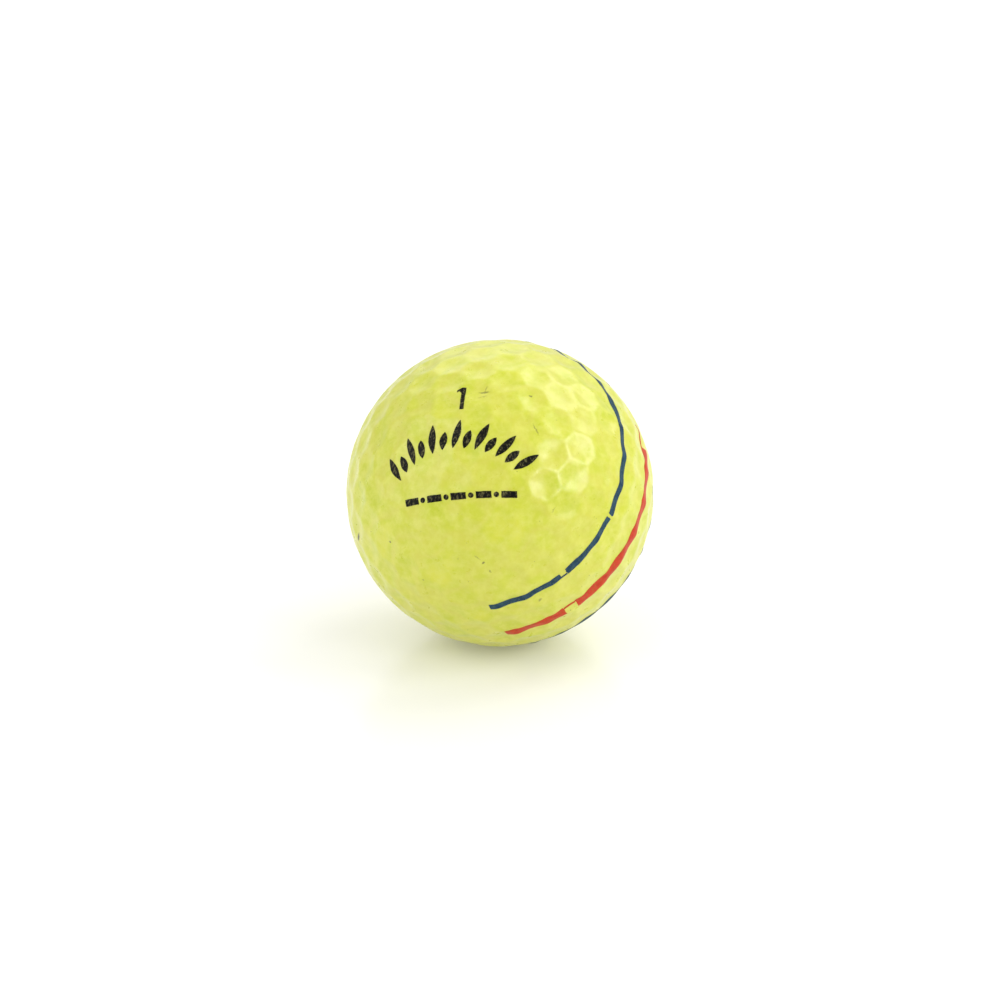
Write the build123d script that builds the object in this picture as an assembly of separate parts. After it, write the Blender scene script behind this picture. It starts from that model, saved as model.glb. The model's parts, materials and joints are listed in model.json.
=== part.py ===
from build123d import *
import os
from math import acos, cos, pi, radians, sin, sqrt
import numpy as np

# Golf ball with a solid core, a mantle and a dimpled cover, and its ink prints.
# Millimetres, +Z up, origin at the ball's centre.

# ---- driving dimensions -------------------------------------------------------------

ball_diameter = 42.7        # over the highest dimple ridges; the rules ask for 42.67 or more
cover_thickness = 1.4       # from the ridges down to the mantle
mantle_thickness = 1.6
dimple_depth = 0.3          # from the ball's outer sphere to the middle of a dimple
ink_thickness = 0.05        # a print with the clear coat over it

# The dimples lie on a triangular lattice folded into a ten-sided drum with two caps:
# 5 * cap_steps * (cap_steps + belt_steps) + 2 dimples in all.
cap_steps = 6
belt_steps = 5
layout_spin = 26.0          # degrees, of the drum about the print pole

# The prints are laid out about their own pole. From there, +x is the reading direction
# and +y is the top of the numeral. Distances run along the ball's surface.
pole_azimuth = 25.9         # degrees from -Y towards -X
pole_elevation = 42.8       # degrees above the horizon
print_roll = 15.6           # degrees, raises the reading direction's far end

numeral_foot = (1.45, 3.25)
numeral_height = 3.7
numeral_stroke = 0.58
numeral_flag = 0.95         # how far the flag reaches left of the stroke's middle
numeral_flag_drop = 0.8     # from the numeral's top down to the flag's tip
numeral_flag_width = 0.35

arch_centre = (0.7, -14.95)
arch_radius = 12.4          # to the foot of the marks
arch_start = 133.0          # degrees, first mark
arch_end = 48.5             # degrees, last mark
arch_marks = 13
tall_mark = (4.2, 1.1)      # length and width of the long leaf shapes
short_mark = (2.7, 1.05)    # length and width of the short leaf shapes between them
mark_slant = 14.0           # degrees, leaning to the right

row_centre = (1.05, -9.15)
row_dashes = 5
row_pitch = 3.6
dash_size = (2.2, 0.95)
dot_diameter = 0.75

stripe_reach = 85.0         # degrees to each side of the reading direction
centre_stripe_width = 1.6
side_stripe_width = 0.95
upper_stripe_offset = 6.95  # from the centre stripe's middle, along the surface
lower_stripe_offset = 8.5

# ---- worked out ---------------------------------------------------------------------

ball_radius = ball_diameter / 2
mantle_radius = ball_radius - cover_thickness
core_radius = mantle_radius - mantle_thickness
tool_reach = 1.0            # how far a cutting tool stands clear of what it cuts

relax_rounds = 600
relax_step = 0.04           # in dimple spacings, for a push of one
relax_falloff = 4           # a push falls with this power of the distance
cell_neighbours = 14        # a dimple's edges are all shared with this many nearest ones

pole = Vector(0, -1, 0).rotate(Axis.X, -pole_elevation).rotate(Axis.Z, -pole_azimuth)
level = Vector(0, 0, 1).cross(pole)
reading = level.rotate(Axis((0, 0, 0), pole), print_roll)
print_frame = Plane(origin=(0, 0, 0), x_dir=reading, z_dir=pole)


# ---- dimple layout ------------------------------------------------------------------

def lattice_triangle(flat, solid):
    """Lattice points in the flat triangle (complex corners), carried to the solid one."""
    turn = np.exp(1j * pi / 3)
    corners = np.array([[c.real for c in flat], [c.imag for c in flat], [1, 1, 1]])
    to_shares = np.linalg.inv(corners)
    reach = 6 * cap_steps + belt_steps
    points = []
    for i in range(-reach, reach + 1):
        for j in range(-reach, reach + 1):
            spot = i + j * turn
            shares = to_shares @ np.array([spot.real, spot.imag, 1])
            if shares.min() > -1e-9:
                points.append(shares @ solid)
    return points


def drum_points():
    """Every lattice point of the folded drum: five triangles a cap and ten in the belt."""
    turn = np.exp(1j * pi / 3)
    base = cap_steps + 0j
    side = belt_steps / turn
    twist = (side / base).real * 2 * pi / 5
    height = 1 / sqrt(5)
    girth = 2 / sqrt(5)
    angles = [2 * pi * i / 5 for i in range(6)]
    upper = [np.array([girth * cos(a), girth * sin(a), height]) for a in angles]
    lower = [np.array([girth * cos(a + twist), girth * sin(a + twist), -height]) for a in angles]
    north = np.array([0, 0, 1.0])
    points = []
    for i in range(5):
        u0, u1 = i * base, (i + 1) * base
        l0, l1 = u0 + side, u1 + side
        cap = (u0, u1, u0 + base * turn), (upper[i], upper[i + 1], north)
        belt_down = (u0, u1, l0), (upper[i], upper[i + 1], lower[i])
        belt_up = (l0, l1, u1), (lower[i], lower[i + 1], upper[i + 1])
        foot = (l0, l1, l0 + base / turn), (lower[i], lower[i + 1], -north)
        for flat, solid in (cap, belt_down, belt_up, foot):
            points += lattice_triangle(flat, np.array(solid))
    keys = {tuple(np.round(p / np.linalg.norm(p), 6) + 0.0) for p in points}
    return np.array(sorted(keys))


def dimple_centres():
    """The drum's points, pushed apart on the unit sphere until they are evenly spaced."""
    p = drum_points()
    count = len(p)
    spacing = sqrt(4 * pi / count)
    for k in range(relax_rounds):
        gap = p[:, None] - p[None]
        square = (gap ** 2).sum(-1) + np.eye(count)
        strength = (spacing ** 2 / square) ** ((relax_falloff + 1) / 2) / spacing
        push = (gap * strength[..., None]).sum(1)
        push -= (push * p).sum(1, keepdims=True) * p
        slowing = 1 - 0.5 * k / relax_rounds
        p = p + relax_step * spacing * slowing * push
        p /= np.linalg.norm(p, axis=1, keepdims=True)
    spin = radians(layout_spin)
    turned_x = p[:, 0] * cos(spin) - p[:, 1] * sin(spin)
    turned_y = p[:, 0] * sin(spin) + p[:, 1] * cos(spin)
    return np.stack([turned_x, turned_y, p[:, 2]], 1)


def cell_corners(centres, i):
    """Unit vectors to the corners of the region nearer to dimple i than to any other."""
    middle = centres[i]
    side = np.cross(middle, np.eye(3)[np.abs(middle).argmin()])
    side /= np.linalg.norm(side)
    other = np.cross(middle, side)
    corners = [np.array(c) for c in ((1, 1), (-1, 1), (-1, -1), (1, -1))]
    nearest_first = np.argsort(-centres @ middle)
    for j in nearest_first[1:cell_neighbours + 1]:
        line = middle - centres[j]
        value = [c[0] * (side @ line) + c[1] * (other @ line) + middle @ line for c in corners]
        kept = []
        for k in range(len(corners)):
            a, b = corners[k - 1], corners[k]
            va, vb = value[k - 1], value[k]
            if (va > 0) != (vb > 0):
                kept.append(a + (b - a) * va / (va - vb))
            if vb > 0:
                kept.append(b)
        corners = kept
    found = [middle + c[0] * side + c[1] * other for c in corners]
    return [c / np.linalg.norm(c) for c in found]


centres = dimple_centres()
cells = [cell_corners(centres, i) for i in range(len(centres))]
widest = max(acos(c @ centres[i]) for i, cell in enumerate(cells) for c in cell)

# Every dimple is a shallow bowl of one radius. The bowl of the widest cell rises to the
# ball's outer sphere at its farthest corner, so no ridge stands above that sphere.
floor_radius = ball_radius - dimple_depth
bowl_distance = (ball_radius ** 2 - floor_radius ** 2) / (2 * (ball_radius * cos(widest) - floor_radius))
bowl_radius = bowl_distance - floor_radius


# ---- solids, in the print frame -----------------------------------------------------

def dimpled_ball(growth):
    """The ball's dimpled solid, with its whole surface moved outwards by growth."""
    faces = []
    length = ball_radius + growth + tool_reach
    for middle, cell in zip(centres, cells):
        tips = [Vector(*(c * length / (c @ middle))) for c in cell]
        walls = [Face(Wire.make_polygon([Vector(0, 0, 0), tips[k - 1], tips[k]])) for k in range(len(tips))]
        wedge = Solid(Shell(walls + [Face(Wire.make_polygon(tips))]))
        outward = Vector(*middle)
        bowl_place = Plane(origin=outward * bowl_distance, x_dir=outward, z_dir=outward.cross(tips[0]))
        bowl = Solid.make_sphere(bowl_radius - growth, bowl_place)
        faces += [f for f in (wedge - bowl).faces() if f.geom_type == GeomType.SPHERE]
    return Solid(Shell(faces))


def on_sphere(x, y):
    """Plan position, seen along the pole, of the point x and y away along the surface."""
    away = sqrt(x * x + y * y)
    if away == 0:
        return (0.0, 0.0)
    plan = ball_radius * sin(away / ball_radius)
    return (x / away * plan, y / away * plan)


def leaf(foot, lean, length, width):
    """A leaf shape of two arcs, from its foot, leaning lean degrees from the x axis."""
    along = np.array([cos(radians(lean)), sin(radians(lean))])
    across = np.array([-along[1], along[0]])
    foot = np.array(foot)
    tip = foot + length * along
    middle = (foot + tip) / 2
    left = on_sphere(*(middle + width / 2 * across))
    right = on_sphere(*(middle - width / 2 * across))
    foot, tip = on_sphere(*foot), on_sphere(*tip)
    return Wire([Edge.make_three_point_arc(foot, right, tip), Edge.make_three_point_arc(tip, left, foot)])


def number_outlines():
    """The numeral one: an upright stroke with a short flag."""
    x, foot = numeral_foot
    half = numeral_stroke / 2
    top = foot + numeral_height
    tip = top - numeral_flag_drop
    corners = [
        (x - half, foot), (x + half, foot), (x + half, top), (x - half, top),
        (x - numeral_flag, tip + numeral_flag_width), (x - numeral_flag, tip),
        (x - half, top - numeral_flag_width),
    ]
    return [Wire.make_polygon([on_sphere(*c) for c in corners])]


def arch_outlines():
    """Long and short leaf shapes in turn, standing on an arch."""
    wires = []
    for k in range(arch_marks):
        angle = arch_start + (arch_end - arch_start) * k / (arch_marks - 1)
        foot_x = arch_centre[0] + arch_radius * cos(radians(angle))
        foot_y = arch_centre[1] + arch_radius * sin(radians(angle))
        length, width = short_mark if k % 2 else tall_mark
        wires.append(leaf((foot_x, foot_y), angle - mark_slant, length, width))
    return wires


def row_outlines():
    """A straight row of dashes with a dot in each gap."""
    wires = []
    y = row_centre[1]
    half_length, half_height = dash_size[0] / 2, dash_size[1] / 2
    for k in range(row_dashes):
        x = row_centre[0] + row_pitch * (k - (row_dashes - 1) / 2)
        corners = [
            (x - half_length, y - half_height), (x + half_length, y - half_height),
            (x + half_length, y + half_height), (x - half_length, y + half_height),
        ]
        wires.append(Wire.make_polygon([on_sphere(*c) for c in corners]))
        if k > 0:
            gap_middle = Plane(origin=on_sphere(x - row_pitch / 2, y))
            wires.append(Wire.make_circle(dot_diameter / 2, gap_middle))
    return wires


def stamp(wires, back):
    """Prisms from the outlines out through the surface, on the front or the back pole."""
    prisms = [extrude(Face(w), amount=ball_radius + tool_reach, dir=(0, 0, 1)) for w in wires]
    if back:
        prisms = [prism.rotate(Axis.X, 180) for prism in prisms]
    return Compound(children=prisms)


def stripe(offset, width):
    """A band about the pole's equator, its edges flat, its ends square to it."""
    low = ball_radius * sin((offset - width / 2) / ball_radius)
    high = ball_radius * sin((offset + width / 2) / ball_radius)
    far = 2 * ball_diameter
    end_x, end_y = far * cos(radians(stripe_reach)), far * sin(radians(stripe_reach))
    fan = [(0, 0, low), (end_x, -end_y, low), (far, -end_y, low), (far, end_y, low), (end_x, end_y, low)]
    return extrude(Face(Wire.make_polygon(fan)), amount=high - low, dir=(0, 0, 1))


ball = dimpled_ball(0)
inked_ball = dimpled_ball(ink_thickness)


def print_film(tool):
    """The ink that the tool leaves: a film of one thickness over ridges and dimples."""
    return Compound(children=((tool & inked_ball) - ball).solids())


core = Solid.make_sphere(core_radius)
mantle = Solid.make_sphere(mantle_radius) - core
cover = ball - Solid.make_sphere(mantle_radius)

nodes = {
    "core": core,
    "mantle": mantle,
    "cover": cover,
    "front_number": print_film(stamp(number_outlines(), False)),
    "front_arch_mark": print_film(stamp(arch_outlines(), False)),
    "front_dash_row": print_film(stamp(row_outlines(), False)),
    "back_number": print_film(stamp(number_outlines(), True)),
    "back_arch_mark": print_film(stamp(arch_outlines(), True)),
    "back_dash_row": print_film(stamp(row_outlines(), True)),
    "centre_stripe": print_film(stripe(0, centre_stripe_width)),
    "upper_stripe": print_film(stripe(upper_stripe_offset, side_stripe_width)),
    "lower_stripe": print_film(stripe(-lower_stripe_offset, side_stripe_width)),
}

os.makedirs("parts", exist_ok=True)
for name, shape in nodes.items():
    export_step(shape.moved(print_frame.location), f"parts/{name}.step")
print(len(centres), "dimples,", round(bowl_radius, 1), "mm bowls")
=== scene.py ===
import json
from math import asin, cos, pi, radians, sin, sqrt, tan

import bmesh
import bpy
import numpy as np
from mathutils import Matrix, Vector


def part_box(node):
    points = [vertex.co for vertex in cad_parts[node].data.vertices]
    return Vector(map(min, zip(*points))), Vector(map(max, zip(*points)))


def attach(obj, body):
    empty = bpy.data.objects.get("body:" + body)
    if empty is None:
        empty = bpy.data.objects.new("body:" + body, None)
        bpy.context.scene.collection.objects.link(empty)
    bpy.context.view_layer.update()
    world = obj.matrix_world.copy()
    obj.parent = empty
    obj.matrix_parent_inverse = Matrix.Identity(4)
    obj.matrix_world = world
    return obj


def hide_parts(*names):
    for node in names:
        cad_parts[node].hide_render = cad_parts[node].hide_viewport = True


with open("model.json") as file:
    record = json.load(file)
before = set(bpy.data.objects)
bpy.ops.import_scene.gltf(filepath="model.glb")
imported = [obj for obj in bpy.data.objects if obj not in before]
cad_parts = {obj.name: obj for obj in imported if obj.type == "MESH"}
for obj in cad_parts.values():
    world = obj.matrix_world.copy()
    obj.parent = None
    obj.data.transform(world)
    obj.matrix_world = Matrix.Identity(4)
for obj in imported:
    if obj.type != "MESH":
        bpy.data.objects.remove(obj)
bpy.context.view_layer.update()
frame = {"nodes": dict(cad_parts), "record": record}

# A worn yellow golf ball with its prints. Lengths are millimetres until a mesh is made.
MM = 0.001
slack = 1e-9                # for rounding, and so that nothing is divided by zero

# ---- sizes from the frame -------------------------------------------------------------

seat = next(m for m in frame["record"]["mounts"] if m["name"] == "tee_seat")
ball_radius = -seat["pos_m"][2] / MM
mantle_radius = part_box("mantle")[1].x / MM

# ---- the ball's layout, with the same driving values as the CAD -----------------------

cap_steps = 6
belt_steps = 5
layout_spin = 26.0          # degrees, of the dimple layout about the print pole
pole_azimuth = 25.9         # degrees from -Y towards -X
pole_elevation = 42.8       # degrees above the horizon
print_roll = 15.6           # degrees, raises the reading direction's far end

relax_rounds = 600
relax_step = 0.04           # of the mean spacing, for a push of 1
relax_slowing = 0.5         # share of the step that is lost by the last round
relax_falloff = 4           # power of the distance by which a push fades

# ---- the dimples ----------------------------------------------------------------------

dimple_depth = 0.3          # from the ball's outer sphere to the middle of a dimple
ridge_round = 0.7           # mm over which the top of a ridge is rounded
bowl_power = 3              # low for a round bowl, high for six flat sides
cell_sides = 6
near_dimples = 8            # dimples that shape the skin at a point, with its own
least_depth = 1e-6          # mm, so that a point on a ridge divides by no zero
chunk = 8192                # points worked out at a time


def unit_rows(p):
    return p / np.linalg.norm(p, axis=-1, keepdims=True)


def lattice_triangle(flat, solid):
    """Lattice points in the flat triangle (complex corners), carried to the solid one."""
    turn = np.exp(1j * pi / 3)
    corners = np.array([[c.real for c in flat], [c.imag for c in flat], [1, 1, 1]])
    to_shares = np.linalg.inv(corners)
    reach = 6 * cap_steps + belt_steps
    steps = np.arange(-reach, reach + 1)
    spots = (steps[:, None] + steps[None] * turn).ravel()
    shares = to_shares @ np.array([spots.real, spots.imag, np.ones(len(spots))])
    inside = shares.min(0) > -slack
    return shares.T[inside] @ solid


def drum_points():
    """Every lattice point of the folded drum: five triangles a cap and ten in the belt."""
    turn = np.exp(1j * pi / 3)
    base = cap_steps + 0j
    side = belt_steps / turn
    twist = (side / base).real * 2 * pi / 5
    height = 1 / sqrt(5)
    girth = 2 / sqrt(5)
    angles = [2 * pi * i / 5 for i in range(6)]
    upper = [np.array([girth * cos(a), girth * sin(a), height]) for a in angles]
    lower = [np.array([girth * cos(a + twist), girth * sin(a + twist), -height]) for a in angles]
    north = np.array([0, 0, 1.0])
    points = []
    for i in range(5):
        u0, u1 = i * base, (i + 1) * base
        l0, l1 = u0 + side, u1 + side
        cap = (u0, u1, u0 + base * turn), (upper[i], upper[i + 1], north)
        belt_down = (u0, u1, l0), (upper[i], upper[i + 1], lower[i])
        belt_up = (l0, l1, u1), (lower[i], lower[i + 1], upper[i + 1])
        foot = (l0, l1, l0 + base / turn), (lower[i], lower[i + 1], -north)
        for flat, solid in (cap, belt_down, belt_up, foot):
            points.append(lattice_triangle(flat, np.array(solid)))
    keys = {tuple(p) for p in np.round(unit_rows(np.concatenate(points)), 6) + 0.0}
    return np.array(sorted(keys))


def dimple_centres():
    """The drum's points, pushed apart on the unit sphere until they are evenly spaced."""
    p = drum_points()
    count = len(p)
    spacing = sqrt(4 * pi / count)
    for k in range(relax_rounds):
        gap = p[:, None] - p[None]
        square = (gap ** 2).sum(-1) + np.eye(count)
        strength = (spacing ** 2 / square) ** ((relax_falloff + 1) / 2) / spacing
        push = (gap * strength[..., None]).sum(1)
        push -= (push * p).sum(1, keepdims=True) * p
        slowing = 1 - relax_slowing * k / relax_rounds
        p = unit_rows(p + relax_step * spacing * slowing * push)
    spin = radians(layout_spin)
    turned_x = p[:, 0] * cos(spin) - p[:, 1] * sin(spin)
    turned_y = p[:, 0] * sin(spin) + p[:, 1] * cos(spin)
    return np.stack([turned_x, turned_y, p[:, 2]], 1)


def print_axes():
    """Rows: the reading direction, the numeral's up, and the print pole, in the frame."""
    az, el = radians(pole_azimuth), radians(pole_elevation)
    pole = Vector((-sin(az) * cos(el), -cos(az) * cos(el), sin(el)))
    level = Vector((0, 0, 1)).cross(pole).normalized()
    reading = Matrix.Rotation(radians(print_roll), 3, pole) @ level
    return np.array([reading, pole.cross(reading), pole])


axes = print_axes()
centres = dimple_centres()          # in the print frame
mean_spacing = ball_radius * sqrt(8 * pi / sqrt(3) / len(centres))
half_cell = mean_spacing / 2


def surface_radius(directions):
    """The skin's radius along unit directions in the print frame: bowls with round ridges."""
    out = np.empty(len(directions))
    for start in range(0, len(directions), chunk):
        part = directions[start:start + chunk]
        cosines = part @ centres.T
        nearest = np.argsort(-cosines, axis=1)[:, :near_dimples]
        cosines = np.take_along_axis(cosines, nearest, 1)
        apart = np.linalg.norm(centres[nearest[:, 1:]] - centres[nearest[:, :1]], axis=2)
        off_edge = ball_radius * (cosines[:, :1] - cosines[:, 1:]) / apart
        off_edge = np.sqrt(off_edge ** 2 + ridge_round ** 2) - ridge_round + least_depth
        out[start:start + chunk] = (off_edge ** -bowl_power).sum(1) ** (-1 / bowl_power)
    deepest = sqrt(half_cell ** 2 + ridge_round ** 2) - ridge_round
    deepest *= cell_sides ** (-1 / bowl_power)
    return ball_radius - dimple_depth * out / deepest


def place(directions, radius):
    """Metres in the frame, from unit directions in the print frame and radii in mm."""
    return (directions @ axes) * radius[:, None] * MM


def new_piece(name, points, faces, node, slot):
    """A mesh that stands for a CAD node, and hides that node's part. The slot is not used."""
    mesh = bpy.data.meshes.new(name)
    mesh.from_pydata([tuple(p) for p in points], [], faces)
    mesh.validate()
    for polygon in mesh.polygons:
        polygon.use_smooth = True
    piece = bpy.data.objects.new(name, mesh)
    bpy.context.scene.collection.objects.link(piece)
    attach(piece, "root")
    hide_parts(node)
    return piece


# ---- the cover ------------------------------------------------------------------------

side_pieces = 6             # mesh lengths along each side of a cell
ring_shares = (0.34, 0.58, 0.74, 0.85, 0.93, 1.0)   # ring sizes, as shares of the cell
near_planes = 14            # neighbours that may cut a cell
weld_distance = 0.003


def cell_corners(i):
    """Unit vectors to the corners of the region nearer to dimple i than to any other."""
    middle = centres[i]
    side = np.cross(middle, np.eye(3)[np.abs(middle).argmin()])
    side /= np.linalg.norm(side)
    other = np.cross(middle, side)
    corners = [np.array(c) for c in ((1, 1), (-1, 1), (-1, -1), (1, -1))]
    for j in np.argsort(-centres @ middle)[1:1 + near_planes]:
        line = middle - centres[j]
        along, across = side @ line, other @ line
        value = [c[0] * along + c[1] * across + middle @ line for c in corners]
        kept = []
        for k in range(len(corners)):
            a, b = corners[k - 1], corners[k]
            va, vb = value[k - 1], value[k]
            if (va > 0) != (vb > 0):
                kept.append(a + (b - a) * va / (va - vb))
            if vb > 0:
                kept.append(b)
        corners = kept
    return unit_rows(np.array([middle + c[0] * side + c[1] * other for c in corners]))


def cover_mesh():
    """The dimpled outside, ring by ring in each cell, and the smooth inside."""
    directions, faces, inner_faces = [], [], []
    for i, middle in enumerate(centres):
        corners = cell_corners(i)
        edge = []
        for k in range(len(corners)):
            a, b = corners[k], corners[(k + 1) % len(corners)]
            for step in range(side_pieces):
                share = step / side_pieces
                edge.append(a * (1 - share) + b * share)
        edge = unit_rows(np.array(edge))
        first = sum(len(d) for d in directions)
        count = len(edge)
        directions.append(middle[None])
        flat_edge = edge / (edge @ middle)[:, None]
        for share in ring_shares:
            directions.append(unit_rows(middle + (flat_edge - middle) * share))
        for k in range(count):
            after = (k + 1) % count
            faces.append((first, first + 1 + k, first + 1 + after))
            for ring in range(len(ring_shares) - 1):
                low = first + 1 + ring * count
                high = low + count
                faces.append((low + k, high + k, high + after, low + after))
        rim = first + 1 + (len(ring_shares) - 1) * count
        for k in range(0, count, side_pieces):
            after = (k + side_pieces) % count
            inner_faces.append((first, rim + after, rim + k))
    directions = np.concatenate(directions)
    outside = place(directions, surface_radius(directions))
    inside = place(directions, np.full(len(directions), mantle_radius))
    shift = len(directions)
    faces += [tuple(v + shift for v in f) for f in inner_faces]
    return np.concatenate([outside, inside]), faces


def weld(piece, distance):
    """Joins the cells' rims, and drops the inner points that no face uses."""
    bm = bmesh.new()
    bm.from_mesh(piece.data)
    loose = [v for v in bm.verts if not v.link_faces]
    bmesh.ops.delete(bm, geom=loose, context="VERTS")
    bmesh.ops.remove_doubles(bm, verts=bm.verts, dist=distance)
    bm.to_mesh(piece.data)
    bm.free()


cover = new_piece("cover_skin", *cover_mesh(), "cover", "cover_ionomer")
weld(cover, weld_distance * MM)


# ---- the prints -----------------------------------------------------------------------

ink_top = 0.03              # above the skin
ink_foot = -0.02            # below the skin, so that no gap shows under a print's edge
ink_grid = 0.16             # mesh size of a print
edge_wobble = 0.025         # how far a print's edge wanders
wobble_length = 0.35        # from one bump of an outline to the next
outline_step = 0.12         # between the points of an outline
sharp_angle = 50            # degrees, edges that stay sharp
cut_slack = 1e-5            # how near a cut a point may be and stay whole


def wobble(seed, where, length):
    """A smooth random value from -1 to 1 along a line, with bumps of about that length."""
    count = 4096
    noise = np.random.default_rng(seed).uniform(-1, 1, count)
    spot = np.asarray(where, float) / length + 1000     # keeps every place above 0
    low = np.floor(spot).astype(int)
    share = spot - low
    share = share * share * (3 - 2 * share)
    return noise[low % count] * (1 - share) + noise[(low + 1) % count] * share


def pole_directions(x, y, back):
    """Unit directions of points x and y mm from the print pole along the surface."""
    away = np.maximum(np.hypot(x, y), slack)
    plan = np.sin(away / ball_radius)
    turned = np.stack([x / away * plan, y / away * plan, np.cos(away / ball_radius)], 1)
    return turned * np.array([1, -1, -1]) if back else turned


def belt_directions(x, y):
    """Unit directions of points x mm round the pole's equator and y mm above it."""
    round_angle, height_angle = x / ball_radius, y / ball_radius
    return np.stack([np.cos(round_angle) * np.cos(height_angle),
                     np.sin(round_angle) * np.cos(height_angle), np.sin(height_angle)], 1)


def film_piece(name, bm, to_directions, node, slot):
    """Turns flat outlines into an ink film that follows the skin, with its own edges."""
    made = bmesh.ops.extrude_face_region(bm, geom=bm.faces[:])
    sunk = {v for v in made["geom"] if isinstance(v, bmesh.types.BMVert)}
    bmesh.ops.recalc_face_normals(bm, faces=bm.faces)
    bm.verts.index_update()
    flat = np.array([v.co for v in bm.verts])
    level = np.array([ink_foot if v in sunk else ink_top for v in bm.verts])
    directions = to_directions(flat[:, 0], flat[:, 1])
    points = place(directions, surface_radius(directions) + level)
    faces = [tuple(v.index for v in f.verts) for f in bm.faces]
    piece = new_piece(name, points, faces, node, slot)
    bm.free()
    sharpen(piece)
    return piece


def sharpen(piece):
    """Sharp edges round a film, and its faces turned outwards."""
    bm = bmesh.new()
    bm.from_mesh(piece.data)
    bmesh.ops.recalc_face_normals(bm, faces=bm.faces)
    for edge in bm.edges:
        if len(edge.link_faces) == 2 and edge.calc_face_angle() > radians(sharp_angle):
            edge.smooth = False
    bm.to_mesh(piece.data)
    bm.free()


def filled(outlines):
    """A flat mesh of the outlines, cut into a grid so that it can bend."""
    bm = bmesh.new()
    for outline in outlines:
        bm.faces.new([bm.verts.new((x, y, 0)) for x, y in outline])
    bmesh.ops.triangulate(bm, faces=bm.faces[:])
    for axis in (0, 1):
        values = [v.co[axis] for v in bm.verts]
        for cut in np.arange(min(values) + ink_grid / 2, max(values), ink_grid):
            spot, normal = Vector((0, 0, 0)), Vector((0, 0, 0))
            spot[axis], normal[axis] = cut, 1
            bmesh.ops.bisect_plane(bm, geom=bm.verts[:] + bm.edges[:] + bm.faces[:],
                                   plane_co=spot, plane_no=normal, dist=cut_slack)
    return bm


def worn_outline(corners, seed):
    """The outline with points all along it, each moved a little by wear."""
    corners = [np.array(c, float) for c in corners]
    out, gone = [], 0.0
    for k, a in enumerate(corners):
        b = corners[(k + 1) % len(corners)]
        length = np.hypot(*(b - a))
        count = max(1, round(length / outline_step))
        across = np.array([a[1] - b[1], b[0] - a[0]]) / max(length, slack)
        for step in range(count):
            share = step / count
            drift = wobble(seed, gone + share * length, wobble_length) * edge_wobble
            out.append(tuple(a + (b - a) * share + across * (drift if step else 0.0)))
        gone += length
    return out


# ---- numeral, arch of leaf shapes, row of dashes and dots -----------------------------

numeral_foot = (1.45, 3.25)
numeral_height = 3.7
numeral_stroke = 0.58
numeral_flag = 0.95         # how far the flag reaches left of the stroke's middle
numeral_flag_drop = 0.8     # from the numeral's top down to the flag's tip
numeral_flag_width = 0.35

arch_centre = (0.7, -14.95)
arch_radius = 12.4          # to the foot of the marks
arch_start = 133.0          # degrees, first mark
arch_end = 48.5             # degrees, last mark
arch_marks = 13
tall_mark = (4.2, 1.1)      # length and width of the long leaf shapes
short_mark = (2.7, 1.05)    # length and width of the short leaf shapes between them
mark_slant = 14.0           # degrees, leaning to the right
leaf_points = 25            # along each side

row_centre = (1.05, -9.15)
row_dashes = 5
row_pitch = 3.6
dash_size = (2.2, 0.95)
dot_diameter = 0.75
dot_corners = 24

number_seed, first_leaf_seed, first_dash_seed = 11, 20, 40


def number_outlines():
    x, foot = numeral_foot
    half = numeral_stroke / 2
    top = foot + numeral_height
    tip = top - numeral_flag_drop
    corners = [
        (x - half, foot), (x + half, foot), (x + half, top), (x - half, top),
        (x - numeral_flag, tip + numeral_flag_width), (x - numeral_flag, tip),
        (x - half, top - numeral_flag_width),
    ]
    return [worn_outline(corners, number_seed)]


def leaf(foot, lean, length, width, seed):
    """A leaf shape of two arcs, from its foot, leaning lean degrees from the x axis."""
    along = np.array([cos(radians(lean)), sin(radians(lean))])
    across = np.array([-along[1], along[0]])
    half = width / 2
    arc_radius = (length ** 2 / 4 + half ** 2) / (2 * half)
    steps = np.linspace(0, 1, leaf_points)
    offset = length * (steps - 0.5)
    bulge = np.sqrt(arc_radius ** 2 - offset ** 2) - (arc_radius - half)
    bulge += edge_wobble * wobble(seed, steps * length, wobble_length) * np.sin(steps * pi)
    right = [foot + along * (length * t) - across * b for t, b in zip(steps, bulge)]
    left = [foot + along * (length * t) + across * b for t, b in zip(steps, bulge)]
    return [tuple(p) for p in right + left[-2:0:-1]]


def arch_outlines():
    outlines = []
    for k in range(arch_marks):
        angle = arch_start + (arch_end - arch_start) * k / (arch_marks - 1)
        outward = np.array([cos(radians(angle)), sin(radians(angle))])
        foot = np.array(arch_centre) + arch_radius * outward
        length, width = short_mark if k % 2 else tall_mark
        outlines.append(leaf(foot, angle - mark_slant, length, width, first_leaf_seed + k))
    return outlines


def row_outlines():
    outlines = []
    y = row_centre[1]
    half_length, half_height = dash_size[0] / 2, dash_size[1] / 2
    for k in range(row_dashes):
        x = row_centre[0] + row_pitch * (k - (row_dashes - 1) / 2)
        corners = [
            (x - half_length, y - half_height), (x + half_length, y - half_height),
            (x + half_length, y + half_height), (x - half_length, y + half_height),
        ]
        outlines.append(worn_outline(corners, first_dash_seed + k))
        if k > 0:
            turn = np.linspace(0, 2 * pi, dot_corners, endpoint=False)
            middle, reach = x - row_pitch / 2, dot_diameter / 2
            outlines.append([(middle + reach * cos(a), y + reach * sin(a)) for a in turn])
    return outlines


inks = []
for side, back in (("front", False), ("back", True)):
    for part, outlines in (("number", number_outlines()), ("arch_mark", arch_outlines()),
                           ("dash_row", row_outlines())):
        node = f"{side}_{part}"
        piece = film_piece(node + "_ink", filled(outlines),
                           lambda x, y, back=back: pole_directions(x, y, back), node, "black_ink")
        inks.append(piece)


# ---- stripes --------------------------------------------------------------------------

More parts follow.
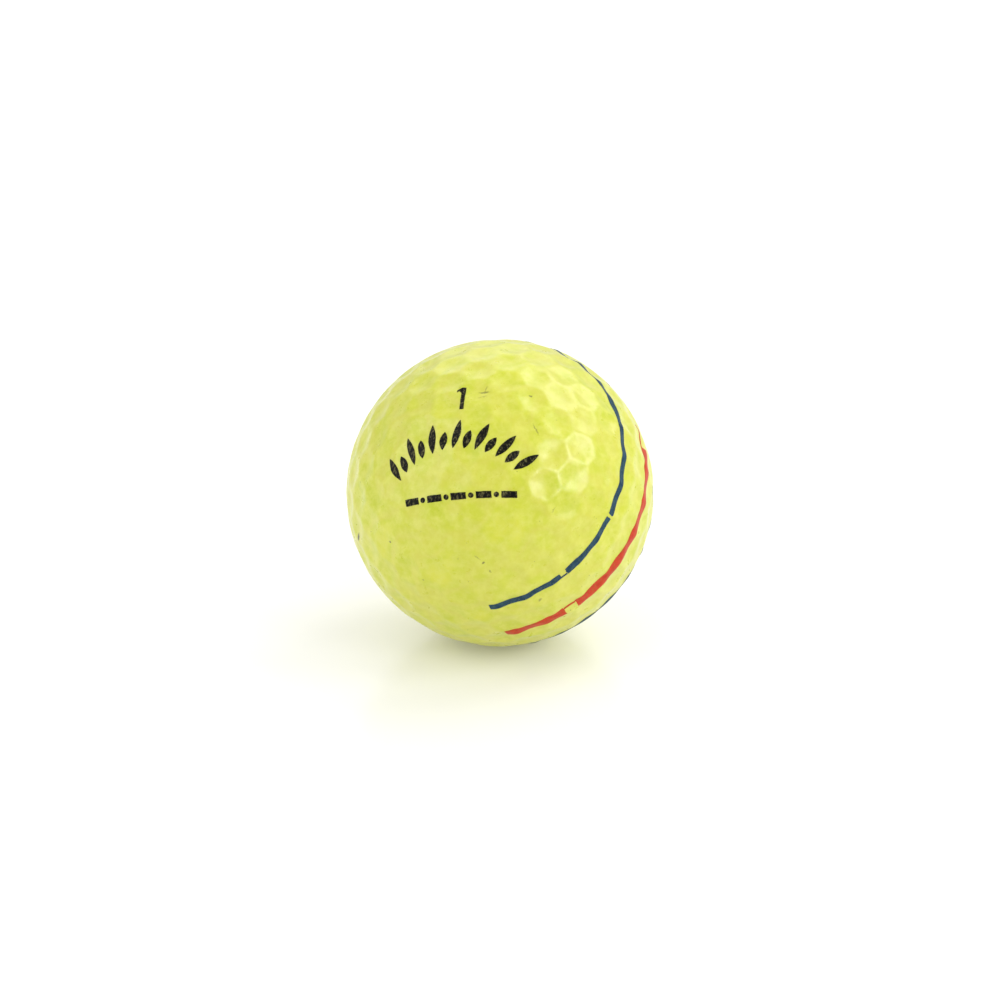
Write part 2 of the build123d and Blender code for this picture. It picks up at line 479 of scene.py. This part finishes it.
stripe_reach = 85.0         # degrees to each side of the reading direction
centre_stripe_width = 1.6
side_stripe_width = 0.95
upper_stripe_offset = 6.95  # from the centre stripe's middle, along the surface
lower_stripe_offset = 8.5
end_wobble = 0.07           # how far a stretch's end wanders
end_wobble_length = 0.2
side_wobble_length = 0.5


def strip(bm, start, end, offset, width, seed):
    """One stretch of a stripe, from start to end in mm, with worn edges and ends."""
    columns = max(2, round((end - start) / ink_grid))
    rows = max(3, round(width / ink_grid))
    grid = []
    for i in range(columns + 1):
        share = i / columns
        column = []
        for j in range(rows + 1):
            across = j / rows
            place_across = across * width
            ragged_start = start + end_wobble * wobble(seed, place_across, end_wobble_length)
            ragged_end = end + end_wobble * wobble(seed + 1, place_across, end_wobble_length)
            x = ragged_start * (1 - share) + ragged_end * share
            low = offset - width / 2 + edge_wobble * wobble(seed + 2, x, side_wobble_length)
            high = offset + width / 2 + edge_wobble * wobble(seed + 3, x, side_wobble_length)
            column.append(bm.verts.new((x, low + (high - low) * across, 0)))
        grid.append(column)
    for i in range(columns):
        for j in range(rows):
            here, ahead = grid[i], grid[i + 1]
            bm.faces.new((here[j], ahead[j], ahead[j + 1], here[j + 1]))


def stripe_piece(node, offset, width, stretches, slot, seed):
    """A stripe made of its stretches, with four random draws for each."""
    bm = bmesh.new()
    for k, (start, end, share, shift) in enumerate(stretches):
        strip(bm, start, end, offset + shift, width * share, seed + 10 * k)
    return film_piece(node + "_ink", bm, belt_directions, node, slot)


# Each stretch: its start and end in mm round the ball, its share of the stripe's width,
# and how many mm it is shifted across. Where ink has worn off, only a thin edge is left.
end_mm = radians(stripe_reach) * ball_radius
centre_stretches = [
    (-end_mm, -22.8, 1, 0), (-22.75, -20.9, 0.2, 0.5), (-20.85, 4.7, 1, 0),
    (4.7, 8.3, 0.2, 0.62), (16.0, end_mm, 1, 0)]
upper_stretches = [
    (-end_mm, -20.3, 1, 0), (-20.3, -19.2, 0.3, -0.3), (-19.2, -9.2, 1, 0),
    (-8.7, end_mm, 1, 0)]
lower_stretches = [(-end_mm, end_mm, 1, 0)]

for node, offset, width, stretches, slot, seed in (
        ("centre_stripe", 0, centre_stripe_width, centre_stretches, "red_ink", 100),
        ("upper_stripe", upper_stripe_offset, side_stripe_width, upper_stretches,
         "blue_ink", 200),
        ("lower_stripe", -lower_stripe_offset, side_stripe_width, lower_stretches,
         "blue_ink", 300)):
    inks.append(stripe_piece(node, offset, width, stretches, slot, seed))


# ---- materials ------------------------------------------------------------------------

def linear(r, g, b):
    """A colour given as 0 to 255 on screen, as the shader wants it."""
    out = []
    for value in (r, g, b):
        value /= 255
        out.append(value / 12.92 if value <= 0.04045 else ((value + 0.055) / 1.055) ** 2.4)
    return (*out, 1)


def grey(value):
    return (value, value, value, 1)


def new_material(name):
    """A material with an empty Principled shader, its node tree and that shader."""
    material = bpy.data.materials.new(name)
    material.use_nodes = True
    tree = material.node_tree
    tree.nodes.clear()
    shader = tree.nodes.new("ShaderNodeBsdfPrincipled")
    output = tree.nodes.new("ShaderNodeOutputMaterial")
    tree.links.new(shader.outputs["BSDF"], output.inputs["Surface"])
    return material, tree, shader


def object_place(tree):
    return tree.nodes.new("ShaderNodeTexCoord").outputs["Object"]


def noise(tree, size_mm, detail=4.0, rough=0.5, stretch=(1, 1, 1)):
    """A noise value with lumps of about size_mm."""
    mapping = tree.nodes.new("ShaderNodeMapping")
    mapping.inputs["Scale"].default_value = stretch
    tree.links.new(object_place(tree), mapping.inputs["Vector"])
    node = tree.nodes.new("ShaderNodeTexNoise")
    node.inputs["Scale"].default_value = 1 / (size_mm * MM)
    node.inputs["Detail"].default_value = detail
    node.inputs["Roughness"].default_value = rough
    tree.links.new(mapping.outputs["Vector"], node.inputs["Vector"])
    return node.outputs["Fac"]


def ramp(tree, value, stops):
    node = tree.nodes.new("ShaderNodeValToRGB")
    elements = node.color_ramp.elements
    while len(elements) > 1:
        elements.remove(elements[-1])
    elements[0].position, elements[0].color = stops[0]
    for position, colour in stops[1:]:
        elements.new(position).color = colour
    tree.links.new(value, node.inputs["Fac"])
    return node.outputs["Color"]


def fade(tree, value, low, high, most=1.0):
    """A share that is 0 up to low and most from high on."""
    return ramp(tree, value, [(low, grey(0)), (high, grey(most))])


def mix(tree, share, one, other):
    """The colour one where share is 0 and the colour other where it is 1."""
    node = tree.nodes.new("ShaderNodeMix")
    node.data_type = "RGBA"
    factor, colour_a, colour_b = node.inputs[0], node.inputs[6], node.inputs[7]
    for socket, value in ((factor, share), (colour_a, one), (colour_b, other)):
        if isinstance(value, bpy.types.NodeSocket):
            tree.links.new(value, socket)
        else:
            socket.default_value = value
    return node.outputs[2]      # the colour result


def bump(tree, shader, height, distance_mm, strength):
    node = tree.nodes.new("ShaderNodeBump")
    node.inputs["Distance"].default_value = distance_mm * MM
    node.inputs["Strength"].default_value = strength
    tree.links.new(height, node.inputs["Height"])
    tree.links.new(node.outputs["Normal"], shader.inputs["Normal"])


# Scuffs and specks: x and y from the print pole, angle, half length, half width, strength.
marks = [
    (4.3, 6.1, 6, 0.75, 0.16, 0.6),         # a tick-shaped scuff beside the numeral
    (4.5, 6.7, 75, 0.45, 0.11, 0.45),
    (4.2, 5.3, 12, 0.65, 0.10, 0.3),
    (10.8, 6.2, 30, 0.26, 0.16, 0.7),
    (11.9, 0.6, -62, 0.85, 0.12, 0.5),
    (14.6, -11.0, 40, 0.5, 0.10, 0.35),
    (-12.2, -13.9, 20, 0.24, 0.18, 0.8),
    (2.6, -17.9, -50, 0.5, 0.08, 0.5),      # a line of pits below the dashes
    (3.3, -18.8, 0, 0.22, 0.18, 0.8),
    (4.1, -20.1, -60, 0.3, 0.12, 0.6),
    (-21.5, -11.1, 70, 0.7, 0.32, 1.0),     # a nick on the left
    (11.5, -26.0, 15, 0.3, 0.2, 0.5),
]
mark_lump = 0.35            # mm, size of the lumps that make a mark's edge ragged
mark_shift = 0.5            # mm, how far the lumps move the edge, at most
mark_inner, mark_outer = 0.5, 1.3       # a mark fades between these shares of its size


def mark_share(tree):
    """Near 1 on the scuffs and specks and 0 elsewhere, with ragged edges."""
    ragged = tree.nodes.new("ShaderNodeTexNoise")
    ragged.inputs["Scale"].default_value = 1 / (mark_lump * MM)
    tree.links.new(object_place(tree), ragged.inputs["Vector"])
    shift = tree.nodes.new("ShaderNodeVectorMath")
    shift.operation = "MULTIPLY_ADD"
    tree.links.new(ragged.outputs["Color"], shift.inputs[0])
    shift.inputs[1].default_value = (mark_shift * MM,) * 3
    tree.links.new(object_place(tree), shift.inputs[2])
    total = None
    for x, y, angle, half_length, half_width, strength in marks:
        outward = pole_directions(np.array([x]), np.array([y]), False)[0]
        outward = Vector(outward @ axes)
        along = Matrix.Rotation(radians(angle), 3, outward) @ Vector(axes[0])
        across = outward.cross(along).normalized()
        along = across.cross(outward)
        local = tree.nodes.new("ShaderNodeMapping")
        local.vector_type = "TEXTURE"
        middle = outward * ball_radius * MM + Vector((mark_shift / 2 * MM,) * 3)
        turned = Matrix((along, across, outward)).transposed().to_euler()
        local.inputs["Location"].default_value = middle
        local.inputs["Rotation"].default_value = turned
        local.inputs["Scale"].default_value = (half_length * MM, half_width * MM, MM)
        tree.links.new(shift.outputs["Vector"], local.inputs["Vector"])
        away = tree.nodes.new("ShaderNodeVectorMath")
        away.operation = "LENGTH"
        tree.links.new(local.outputs["Vector"], away.inputs[0])
        share = tree.nodes.new("ShaderNodeMapRange")
        share.interpolation_type = "SMOOTHSTEP"
        share.inputs["From Min"].default_value = mark_outer
        share.inputs["From Max"].default_value = mark_inner
        share.inputs["To Max"].default_value = strength
        tree.links.new(away.outputs["Value"], share.inputs["Value"])
        if total is None:
            total = share.outputs["Result"]
        else:
            most = tree.nodes.new("ShaderNodeMath")
            most.operation = "MAXIMUM"
            tree.links.new(total, most.inputs[0])
            tree.links.new(share.outputs["Result"], most.inputs[1])
            total = most.outputs["Value"]
    return total


# Sizes of the lumps in the cover's material, and its translucency.
blotch, scuff, speck, gloss_patch, grain = 6, 1.1, 0.5, 1.6, 0.45
grain_height = 0.012
light_reach = 0.9           # mm that light travels under the skin

# The same for the inks.
ink_patch, ink_streak, ink_grain = 0.8, 0.24, 0.3
streak_shape = (1, 1, 0.3)  # scale along each axis, low for long
ink_grain_height = 0.006


def cover_material():
    """Translucent yellow ionomer: blotches, light scuffs, dark specks and worn gloss."""
    material, tree, shader = new_material("worn_yellow_ionomer")
    base = ramp(tree, noise(tree, blotch, 3, 0.45), [
        (0.30, linear(190, 199, 38)), (0.42, linear(198, 203, 54)),
        (0.50, linear(203, 202, 72)), (0.60, linear(197, 203, 50)),
        (0.72, linear(208, 209, 64))])
    scuffs = fade(tree, noise(tree, scuff, 5, 0.6), 0.40, 0.75)
    colour = mix(tree, scuffs, base, linear(212, 213, 92))
    specks = fade(tree, noise(tree, speck, 2, 0.5), 0.74, 0.78)
    colour = mix(tree, specks, colour, linear(150, 152, 50))
    colour = mix(tree, mark_share(tree), colour, linear(74, 72, 24))
    tree.links.new(colour, shader.inputs["Base Color"])
    patches = noise(tree, gloss_patch, 4, 0.6)
    gloss = ramp(tree, patches, [(0.3, grey(0.26)), (0.75, grey(0.42))])
    tree.links.new(gloss, shader.inputs["Roughness"])
    shader.inputs["IOR"].default_value = 1.5
    shader.inputs["Subsurface Weight"].default_value = 0.35
    shader.inputs["Subsurface Radius"].default_value = (1.0, 0.95, 0.25)
    shader.inputs["Subsurface Scale"].default_value = light_reach * MM
    shader.inputs["Coat Weight"].default_value = 0.3
    shader.inputs["Coat Roughness"].default_value = 0.22
    bump(tree, shader, noise(tree, grain, 3, 0.5), grain_height, 0.5)
    return material


def ink_material(name, dark, light, worn):
    """Ink that has worn thin in fine streaks, where the cover shows through."""
    material, tree, shader = new_material(name)
    base = ramp(tree, noise(tree, ink_patch, 3), [(0.35, dark), (0.65, light)])
    streaks = fade(tree, noise(tree, ink_streak, 4, 0.6, streak_shape), 0.52, 0.66, 0.9)
    colour = mix(tree, streaks, base, worn)
    tree.links.new(colour, shader.inputs["Base Color"])
    shader.inputs["Roughness"].default_value = 0.45
    shader.inputs["Specular IOR Level"].default_value = 0.12
    bump(tree, shader, noise(tree, ink_grain, 3), ink_grain_height, 0.5)
    return material


def inner_material(name, dark, light, size_mm, roughness):
    """A plain moulded material for the layers under the cover."""
    material, tree, shader = new_material(name)
    colour = ramp(tree, noise(tree, size_mm, 6), [(0.35, dark), (0.65, light)])
    tree.links.new(colour, shader.inputs["Base Color"])
    shader.inputs["Roughness"].default_value = roughness
    bump(tree, shader, noise(tree, size_mm / 4, 4), 0.02, 0.6)
    return material


finishes = {
    "cover_ionomer": cover_material(),
    "black_ink": ink_material(
        "black_pad_ink", linear(3, 3, 1), linear(12, 12, 6), linear(104, 100, 64)),
    "red_ink": ink_material(
        "red_stripe_ink", linear(184, 52, 30), linear(198, 66, 40), linear(170, 88, 38)),
    "blue_ink": ink_material(
        "blue_stripe_ink", linear(28, 56, 76), linear(44, 74, 94), linear(66, 90, 86)),
    "mantle_resin": inner_material(
        "moulded_mantle_resin", linear(214, 212, 200), linear(226, 224, 214), 3, 0.5),
    "core_rubber": inner_material(
        "cured_core_rubber", linear(150, 70, 62), linear(172, 88, 76), 1.2, 0.75),
}

slot_of_node = {s["node"]: s["material_slot"] for s in frame["record"]["subparts"]}
for node, part in frame["nodes"].items():
    part.data.materials.clear()
    part.data.materials.append(finishes[slot_of_node[node]])
cover.data.materials.append(finishes["cover_ionomer"])
for piece in inks:
    piece.data.materials.append(finishes[slot_of_node[piece.name.removesuffix("_ink")]])


# ---- floor, light and camera ----------------------------------------------------------

floor_level = min(v.co.z for v in cover.data.vertices)
floor_reach = 6             # metres, from the ball to each side of the floor


def floor_piece():
    mesh = bpy.data.meshes.new("floor")
    corners = [(x * floor_reach, y * floor_reach, floor_level)
               for x, y in ((-1, -1), (1, -1), (1, 1), (-1, 1))]
    mesh.from_pydata(corners, [], [(0, 1, 2, 3)])
    piece = bpy.data.objects.new("floor", mesh)
    bpy.context.scene.collection.objects.link(piece)
    material, tree, shader = new_material("pale_floor")
    shader.inputs["Base Color"].default_value = (0.82, 0.815, 0.805, 1)
    shader.inputs["Emission Color"].default_value = (1, 0.99, 0.97, 1)
    shader.inputs["Emission Strength"].default_value = 0.12
    shader.inputs["Roughness"].default_value = 0.22
    shader.inputs["IOR"].default_value = 1.35
    mesh.materials.append(material)


def area_light(name, spot, size, power):
    """A round soft light at a spot in metres, turned to the ball."""
    data = bpy.data.lights.new(name, "AREA")
    data.shape = "DISK"
    data.size = size
    data.energy = power
    light = bpy.data.objects.new(name, data)
    light.location = spot
    light.rotation_euler = (-Vector(spot)).to_track_quat("-Z", "Y").to_euler()
    bpy.context.scene.collection.objects.link(light)


floor_piece()
for name, spot, size, power in (            # metres, metres across, watts
        ("right_front", (0.69, -0.60, 0.42), 0.36, 2.2),
        ("right", (0.82, -0.20, 0.54), 0.38, 2.3),
        ("right_back", (0.55, 0.42, 0.72), 0.7, 3.2),
        ("back", (-0.1, 0.8, 0.6), 0.8, 1.2),
        ("left", (-0.85, -0.30, 0.50), 1.1, 4.2)):
    area_light(name, spot, size, power)

world = bpy.data.worlds.new("studio")
world.use_nodes = True
background = world.node_tree.nodes["Background"]
background.inputs["Color"].default_value = (1, 1, 1, 1)
background.inputs["Strength"].default_value = 0.72
bpy.context.scene.world = world
bpy.context.scene.view_settings.view_transform = "Standard"

camera_distance = 0.65      # metres, from the ball's centre
camera_elevation = 21.5     # degrees
outline_drop = 0.2          # mm, from the ball's outer sphere to its outline's mean
ball_share = 0.3046         # of the picture's width
raise_share = 0.0072        # the ball's centre above the picture's, of its width

camera_data = bpy.data.cameras.new("camera")
camera_data.sensor_width = 36       # mm
half_angle = asin((ball_radius - outline_drop) * MM / camera_distance)
camera_data.lens = camera_data.sensor_width * ball_share / 2 / tan(half_angle)
camera = bpy.data.objects.new("camera", camera_data)
tilt = radians(camera_elevation)
upright = Vector((0, sin(tilt), cos(tilt)))
drop = raise_share * camera_data.sensor_width / camera_data.lens * camera_distance
camera.location = camera_distance * Vector((0, -cos(tilt), sin(tilt))) - drop * upright
camera.rotation_euler = (pi / 2 - tilt, 0, 0)
bpy.context.scene.collection.objects.link(camera)
bpy.context.scene.camera = camera
